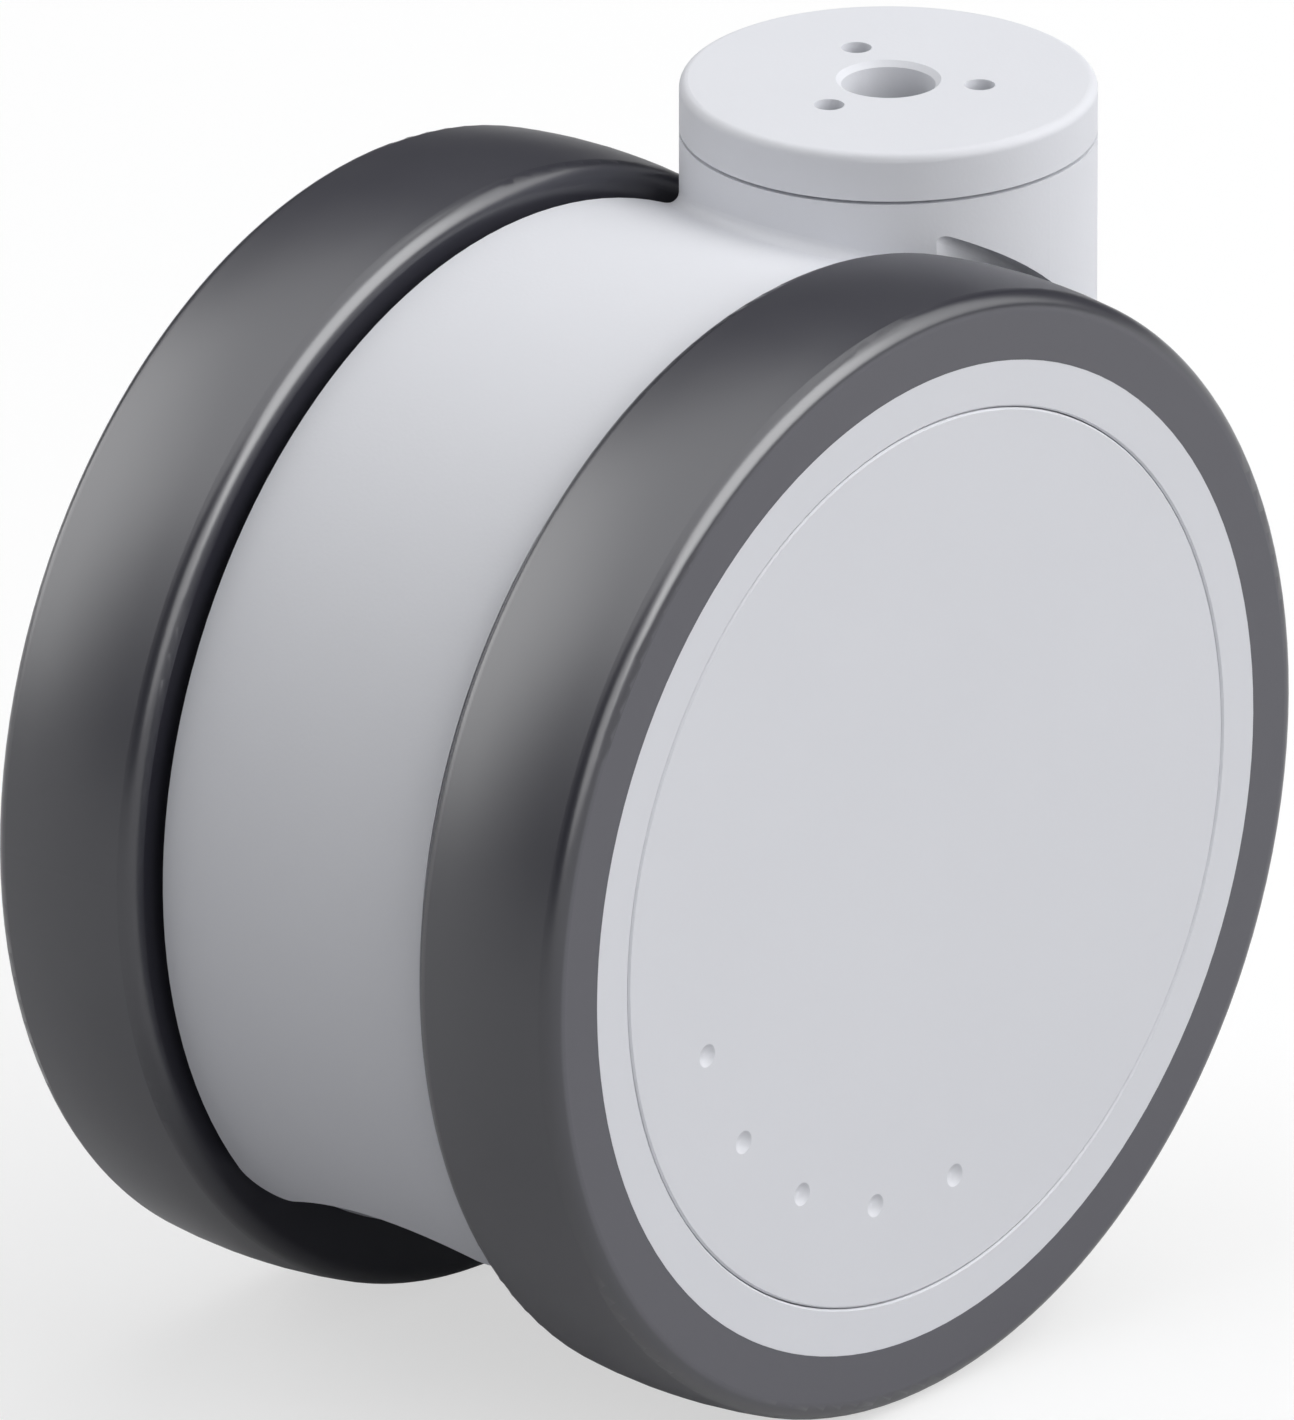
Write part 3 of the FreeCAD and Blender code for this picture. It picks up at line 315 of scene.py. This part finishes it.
def dress_nodes():
    """Gives every node the finish of its material slot."""
    hood = (HOOD_GREY, HOOD_GREY_DEEP, HOOD_GRAIN_BUMP, HOOD_ROUGHNESS)
    wheel = (WHEEL_GREY, WHEEL_GREY_DEEP, WHEEL_GRAIN_BUMP, WHEEL_ROUGHNESS)
    bush = (NATURAL_NYLON, NYLON_SHADE, BUSH_ROUGHNESS)
    cage = (BLACK_NYLON, BLACK_NYLON_DULL, CAGE_ROUGHNESS)
    seal = (SEAL_BLACK, SEAL_DUST, SEAL_ROUGHNESS)
    finishes = {
        "housing_plastic": moulded_plastic("housing_plastic", *hood),
        "wheel_plastic": moulded_plastic("wheel_plastic", *wheel),
        "cover_plastic": moulded_plastic("cover_plastic", *wheel),
        "tyre_rubber": tyre_rubber("tyre_rubber"),
        "bearing_steel": ground_steel("bearing_steel"),
        "bush_plastic": plain_moulding("bush_plastic", *bush),
        "cage_plastic": plain_moulding("cage_plastic", *cage),
        "seal_rubber": plain_moulding("seal_rubber", *seal),
    }
    for part in frame["record"]["subparts"]:
        node = frame["nodes"][part["node"]]
        node.data.materials.clear()
        node.data.materials.append(finishes[part["material_slot"]])


def make_floor():
    """A white floor with a softened shadow, which throws less light back than it shows.

    The camera sees part of the white as the floor's own glow, and glossy and clear surfaces show it plain.
    """
    low = cad_box[0]
    bpy.ops.mesh.primitive_plane_add(size=FLOOR_SIZE, location=(0.0, 0.0, low.z))
    floor = bpy.context.object
    floor.name = "floor"
    finish = Finish("floor")
    path = finish.node("ShaderNodeLightPath").outputs
    mirrored = finish.maths("MAXIMUM", path["Is Glossy Ray"], path["Is Transmission Ray"])
    dimmed = tuple(channel * (1.0 - FLOOR_GLOW) for channel in FLOOR_WHITE)
    direct = finish.blend(path["Is Camera Ray"], FLOOR_BOUNCE, dimmed)
    finish.colour(finish.blend(mirrored, direct, FLOOR_WHITE))
    glow = finish.maths("MULTIPLY", path["Is Camera Ray"], FLOOR_GLOW)
    finish.link(glow, finish.shader.inputs["Emission Strength"])
    finish.constants(
        Roughness=FLOOR_ROUGHNESS,
        Specular_IOR_Level=0.0,
        Emission_Color=(1.0, 1.0, 1.0, 1.0),
    )
    finish.material.cycles.emission_sampling = "NONE"
    floor.data.materials.append(finish.material)


def make_sky():
    """A dim even dome that fills the shadows."""
    world = bpy.data.worlds.new("studio")
    scene.world = world
    world.use_nodes = True
    dome = world.node_tree.nodes["Background"]
    dome.inputs["Color"].default_value = (*SKY_COLOUR, 1.0)
    dome.inputs["Strength"].default_value = SKY_LEVEL


def from_angles(azimuth, elevation):
    """Direction from the object towards a place at these angles, with azimuth 0 on the -Y side."""
    level = math.cos(elevation)
    return Vector((math.sin(azimuth) * level, -math.cos(azimuth) * level, math.sin(elevation)))


def place_facing(thing, out, distance):
    """Puts a lamp or a camera at a distance in the given direction, pointed at the middle of the picture."""
    scene.collection.objects.link(thing)
    thing.location = VIEW_CENTRE + out * distance
    thing.rotation_euler = (-out).to_track_quat("-Z", "Y").to_euler()


def make_lamp(name, azimuth, elevation, width, height, level, distance):
    """An even rectangular lamp. A white matt surface that faces it gets the given level."""
    light = bpy.data.lights.new(name, "AREA")
    light.shape = "RECTANGLE"
    light.size = 2.0 * distance * math.tan(math.radians(width) / 2.0)
    light.size_y = 2.0 * distance * math.tan(math.radians(height) / 2.0)
    light.energy = level * (math.pi * distance) ** 2
    lamp = bpy.data.objects.new(name, light)
    lamp.visible_camera = False
    out = from_angles(VIEW_AZIMUTH + math.radians(azimuth), math.radians(elevation))
    place_facing(lamp, out, distance)
    return lamp


def make_lights():
    """Softboxes round the object, lamps a little farther out that only show as sheen, and a matt fill."""
    for row in SOFTBOXES:
        make_lamp(*row, LAMP_DISTANCE)
    for row in SHEENS:
        sheen = make_lamp(*row, SHEEN_DISTANCE)
        sheen.visible_diffuse = False
    fill = make_lamp(*REAR_FILL, LAMP_DISTANCE)
    fill.visible_glossy = False


def make_camera():
    """The photograph's camera, as far away as its lens needs to fill the frame's height."""
    camera = bpy.data.objects.new("camera", bpy.data.cameras.new("camera"))
    camera.data.lens = LENS
    camera.data.sensor_width = SENSOR
    camera.data.clip_end = FARTHEST_SEEN
    frame_height = PHOTO_HEIGHT / PHOTO_PIXELS_PER_MM * MM
    place_facing(camera, from_angles(VIEW_AZIMUTH, VIEW_ELEVATION), frame_height * LENS / SENSOR)
    scene.camera = camera


scene.view_settings.view_transform = "Standard"
dress_nodes()
make_floor()
make_sky()
make_lights()
make_camera()
